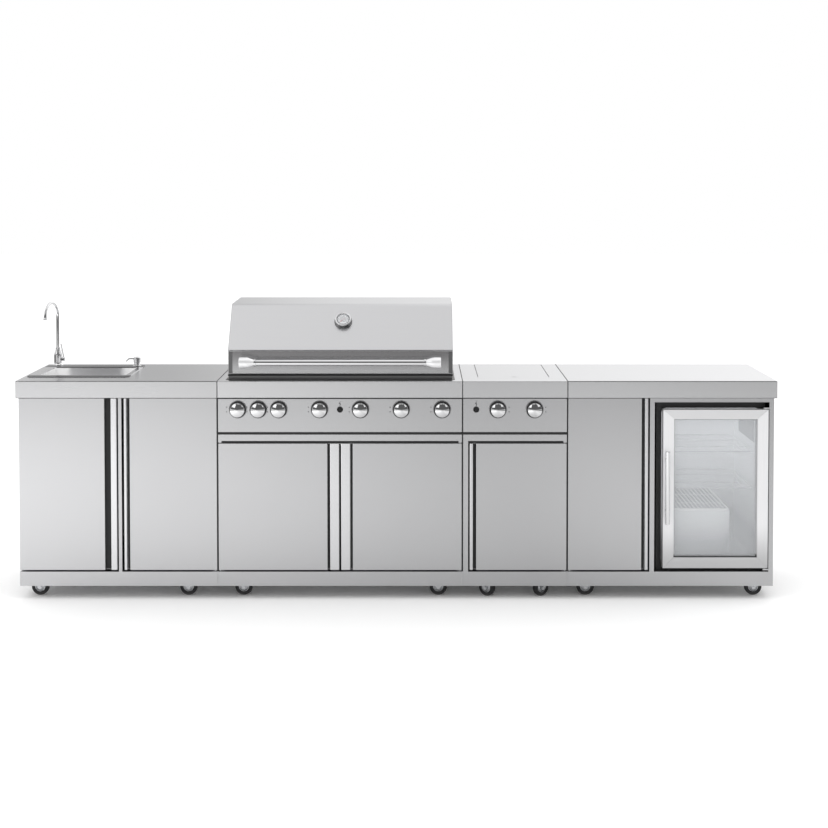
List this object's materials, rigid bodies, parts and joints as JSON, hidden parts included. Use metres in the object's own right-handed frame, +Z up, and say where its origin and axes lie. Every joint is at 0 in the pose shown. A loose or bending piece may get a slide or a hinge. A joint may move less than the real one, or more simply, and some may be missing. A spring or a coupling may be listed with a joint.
{
  "type": "outdoor kitchen island",
  "caption": "Outdoor kitchen run of folded steel units on casters: sink with swan-neck tap, hooded gas grill, lidded side burner and glass-door refrigerator.",
  "frame": {"origin": "on the floor, under the middle of the whole island's box", "axes": "+X to the viewer's right along the run, +Y from the doors to the rear, +Z up"},
  "size_m": [3.23, 0.64, 1.25],
  "materials": {
    "steel": "brushed, satin",
    "chrome": "polished",
    "dark_steel": "satin",
    "cast": "matte",
    "rubber": "matte",
    "zinc": "zinc plated",
    "tray": "satin",
    "liner": "smooth",
    "black": "matte",
    "glass": "clear"
  },
  "bodies": {
    "island": {"sink_cabinet": "steel", "grill_cabinet": "steel", "burner_cabinet": "steel", "fridge_cabinet": "steel", "sink_worktop": "steel", "grill_worktop": "steel", "burner_worktop": "steel", "fridge_worktop": "steel", "sink_basin": "steel", "tap_body": "chrome", "firebox": "dark_steel", "gas_burners": "dark_steel", "cooking_grates": "cast", "control_panels": "steel", "fridge_body": "liner", "fridge_racks": "chrome"},
    "grill_lid": {"grill_lid": "steel", "lid_handle": "chrome", "thermometer": "chrome"},
    "burner_lid": {"burner_lid": "steel"},
    "sink_door_left": {"sink_door_left": "steel"},
    "sink_door_right": {"sink_door_right": "steel"},
    "grill_door_left": {"grill_door_left": "steel"},
    "grill_door_right": {"grill_door_right": "steel"},
    "burner_door": {"burner_door": "steel"},
    "store_door": {"store_door": "steel"},
    "glass_door": {"glass_door_frame": "steel", "glass_door_panes": "glass"},
    "grill_knob_1": {"grill_knob_1": "chrome"},
    "grill_knob_2": {"grill_knob_2": "chrome"},
    "grill_knob_3": {"grill_knob_3": "chrome"},
    "grill_knob_4": {"grill_knob_4": "chrome"},
    "grill_knob_5": {"grill_knob_5": "chrome"},
    "grill_knob_6": {"grill_knob_6": "chrome"},
    "grill_knob_7": {"grill_knob_7": "chrome"},
    "burner_knob_1": {"burner_knob_1": "chrome"},
    "burner_knob_2": {"burner_knob_2": "chrome"},
    "grill_igniter": {"grill_igniter": "black"},
    "burner_igniter": {"burner_igniter": "black"},
    "tap_spout": {"tap_spout": "chrome"},
    "tap_lever": {"tap_lever": "chrome"},
    "soap_pump": {"soap_pump": "chrome"},
    "drip_tray": {"drip_tray": "tray"},
    "front_fork_1": {"front_fork_1": "zinc"},
    "front_wheel_1": {"front_wheel_1": "rubber"},
    "front_fork_2": {"front_fork_2": "zinc"},
    "front_wheel_2": {"front_wheel_2": "rubber"},
    "front_fork_3": {"front_fork_3": "zinc"},
    "front_wheel_3": {"front_wheel_3": "rubber"},
    "front_fork_4": {"front_fork_4": "zinc"},
    "front_wheel_4": {"front_wheel_4": "rubber"},
    "front_fork_5": {"front_fork_5": "zinc"},
    "front_wheel_5": {"front_wheel_5": "rubber"},
    "front_fork_6": {"front_fork_6": "zinc"},
    "front_wheel_6": {"front_wheel_6": "rubber"},
    "front_fork_7": {"front_fork_7": "zinc"},
    "front_wheel_7": {"front_wheel_7": "rubber"},
    "front_fork_8": {"front_fork_8": "zinc"},
    "front_wheel_8": {"front_wheel_8": "rubber"},
    "rear_wheels": {"rear_wheels": "rubber"}
  },
  "joints": [
    {"name": "grill_lid_hinge", "type": "hinge", "parent": "island", "child": "grill_lid", "pos_m": [-0.2395, 0.28, 0.97], "axis": [-1, 0, 0], "range_deg": [0, 90]},
    {"name": "burner_lid_hinge", "type": "hinge", "parent": "island", "child": "burner_lid", "pos_m": [0.505, 0.2915, 0.9305], "axis": [-1, 0, 0], "range_deg": [0, 95]},
    {"name": "sink_door_left_hinge", "type": "hinge", "parent": "island", "child": "sink_door_left", "pos_m": [-1.597, -0.275, 0.4935], "axis": [0, 0, -1], "range_deg": [0, 105]},
    {"name": "sink_door_right_hinge", "type": "hinge", "parent": "island", "child": "sink_door_right", "pos_m": [-0.77, -0.275, 0.4935], "axis": [0, 0, 1], "range_deg": [0, 90]},
    {"name": "grill_door_left_hinge", "type": "hinge", "parent": "island", "child": "grill_door_left", "pos_m": [-0.75, -0.275, 0.397], "axis": [0, 0, -1], "range_deg": [0, 90]},
    {"name": "grill_door_right_hinge", "type": "hinge", "parent": "island", "child": "grill_door_right", "pos_m": [0.271, -0.275, 0.397], "axis": [0, 0, 1], "range_deg": [0, 90]},
    {"name": "burner_door_hinge", "type": "hinge", "parent": "island", "child": "burner_door", "pos_m": [0.717, -0.275, 0.397], "axis": [0, 0, 1], "range_deg": [0, 90]},
    {"name": "store_door_hinge", "type": "hinge", "parent": "island", "child": "store_door", "pos_m": [0.737, -0.275, 0.4935], "axis": [0, 0, -1], "range_deg": [0, 90]},
    {"name": "glass_door_hinge", "type": "hinge", "parent": "island", "child": "glass_door", "pos_m": [1.569, -0.272, 0.473], "axis": [0, 0, 1], "range_deg": [0, 105]},
    {"name": "grill_knob_1_turn", "type": "hinge", "parent": "island", "child": "grill_knob_1", "pos_m": [-0.673, -0.29, 0.813], "axis": [0, -1, 0], "range_deg": [0, 210]},
    {"name": "grill_knob_2_turn", "type": "hinge", "parent": "island", "child": "grill_knob_2", "pos_m": [-0.5863, -0.29, 0.813], "axis": [0, -1, 0], "range_deg": [0, 210]},
    {"name": "grill_knob_3_turn", "type": "hinge", "parent": "island", "child": "grill_knob_3", "pos_m": [-0.4996, -0.29, 0.813], "axis": [0, -1, 0], "range_deg": [0, 210]},
    {"name": "grill_knob_4_turn", "type": "hinge", "parent": "island", "child": "grill_knob_4", "pos_m": [-0.3262, -0.29, 0.813], "axis": [0, -1, 0], "range_deg": [0, 210]},
    {"name": "grill_knob_5_turn", "type": "hinge", "parent": "island", "child": "grill_knob_5", "pos_m": [-0.1528, -0.29, 0.813], "axis": [0, -1, 0], "range_deg": [0, 210]},
    {"name": "grill_knob_6_turn", "type": "hinge", "parent": "island", "child": "grill_knob_6", "pos_m": [0.0206, -0.29, 0.813], "axis": [0, -1, 0], "range_deg": [0, 210]},
    {"name": "grill_knob_7_turn", "type": "hinge", "parent": "island", "child": "grill_knob_7", "pos_m": [0.194, -0.29, 0.813], "axis": [0, -1, 0], "range_deg": [0, 210]},
    {"name": "burner_knob_1_turn", "type": "hinge", "parent": "island", "child": "burner_knob_1", "pos_m": [0.431, -0.29, 0.813], "axis": [0, -1, 0], "range_deg": [0, 210]},
    {"name": "burner_knob_2_turn", "type": "hinge", "parent": "island", "child": "burner_knob_2", "pos_m": [0.587, -0.29, 0.813], "axis": [0, -1, 0], "range_deg": [0, 210]},
    {"name": "grill_igniter_push", "type": "slide", "parent": "island", "child": "grill_igniter", "axis": [0, 1, 0], "range_m": [0, 0.004], "stiffness_N_per_m": 400, "springref_m": -0.004},
    {"name": "burner_igniter_push", "type": "slide", "parent": "island", "child": "burner_igniter", "axis": [0, 1, 0], "range_m": [0, 0.004], "stiffness_N_per_m": 400, "springref_m": -0.004},
    {"name": "tap_spout_swivel", "type": "hinge", "parent": "island", "child": "tap_spout", "pos_m": [-1.558, 0.255, 1.05], "axis": [0, 0, 1], "range_deg": [-100, 120]},
    {"name": "tap_lever_tilt", "type": "hinge", "parent": "island", "child": "tap_lever", "pos_m": [-1.533, 0.255, 0.968], "axis": [1, 0, 0], "range_deg": [0, 75]},
    {"name": "soap_pump_press", "type": "slide", "parent": "island", "child": "soap_pump", "axis": [0, 0, -1], "range_m": [0, 0.012], "stiffness_N_per_m": 300, "springref_m": -0.02},
    {"name": "drip_tray_slide", "type": "slide", "parent": "island", "child": "drip_tray", "axis": [0, 1, 0], "range_m": [0, 0.4]},
    {"name": "front_swivel_1", "type": "hinge", "parent": "island", "child": "front_fork_1", "pos_m": [-1.507, -0.2, 0.095], "axis": [0, 0, 1], "continuous": true},
    {"name": "front_roll_1", "type": "hinge", "parent": "front_fork_1", "child": "front_wheel_1", "pos_m": [-1.535, -0.2, 0.0375], "axis": [0, -1, 0], "continuous": true},
    {"name": "front_swivel_2", "type": "hinge", "parent": "island", "child": "front_fork_2", "pos_m": [-0.868, -0.2, 0.095], "axis": [0, 0, 1], "continuous": true},
    {"name": "front_roll_2", "type": "hinge", "parent": "front_fork_2", "child": "front_wheel_2", "pos_m": [-0.896, -0.2, 0.0375], "axis": [0, -1, 0], "continuous": true},
    {"name": "front_swivel_3", "type": "hinge", "parent": "island", "child": "front_fork_3", "pos_m": [-0.63, -0.2, 0.095], "axis": [0, 0, 1], "continuous": true},
    {"name": "front_roll_3", "type": "hinge", "parent": "front_fork_3", "child": "front_wheel_3", "pos_m": [-0.658, -0.2, 0.0375], "axis": [0, -1, 0], "continuous": true},
    {"name": "front_swivel_4", "type": "hinge", "parent": "island", "child": "front_fork_4", "pos_m": [0.151, -0.2, 0.095], "axis": [0, 0, 1], "continuous": true},
    {"name": "front_roll_4", "type": "hinge", "parent": "front_fork_4", "child": "front_wheel_4", "pos_m": [0.179, -0.2, 0.0375], "axis": [0, 1, 0], "continuous": true},
    {"name": "front_swivel_5", "type": "hinge", "parent": "island", "child": "front_fork_5", "pos_m": [0.366, -0.2, 0.095], "axis": [0, 0, 1], "continuous": true},
    {"name": "front_roll_5", "type": "hinge", "parent": "front_fork_5", "child": "front_wheel_5", "pos_m": [0.38894, -0.21606, 0.0375], "axis": [0.5736, 0.8192, 0], "continuous": true},
    {"name": "front_swivel_6", "type": "hinge", "parent": "island", "child": "front_fork_6", "pos_m": [0.642, -0.2, 0.095], "axis": [0, 0, 1], "continuous": true},
    {"name": "front_roll_6", "type": "hinge", "parent": "front_fork_6", "child": "front_wheel_6", "pos_m": [0.61906, -0.21606, 0.0375], "axis": [0.5736, -0.8192, 0], "continuous": true},
    {"name": "front_swivel_7", "type": "hinge", "parent": "island", "child": "front_fork_7", "pos_m": [0.84, -0.2, 0.095], "axis": [0, 0, 1], "continuous": true},
    {"name": "front_roll_7", "type": "hinge", "parent": "front_fork_7", "child": "front_wheel_7", "pos_m": [0.812, -0.2, 0.0375], "axis": [0, -1, 0], "continuous": true},
    {"name": "front_swivel_8", "type": "hinge", "parent": "island", "child": "front_fork_8", "pos_m": [1.507, -0.2, 0.095], "axis": [0, 0, 1], "continuous": true},
    {"name": "front_roll_8", "type": "hinge", "parent": "front_fork_8", "child": "front_wheel_8", "pos_m": [1.535, -0.2, 0.0375], "axis": [0, 1, 0], "continuous": true},
    {"name": "rear_roll", "type": "hinge", "parent": "island", "child": "rear_wheels", "pos_m": [0, 0.235, 0.0375], "axis": [1, 0, 0], "continuous": true}
  ]
}
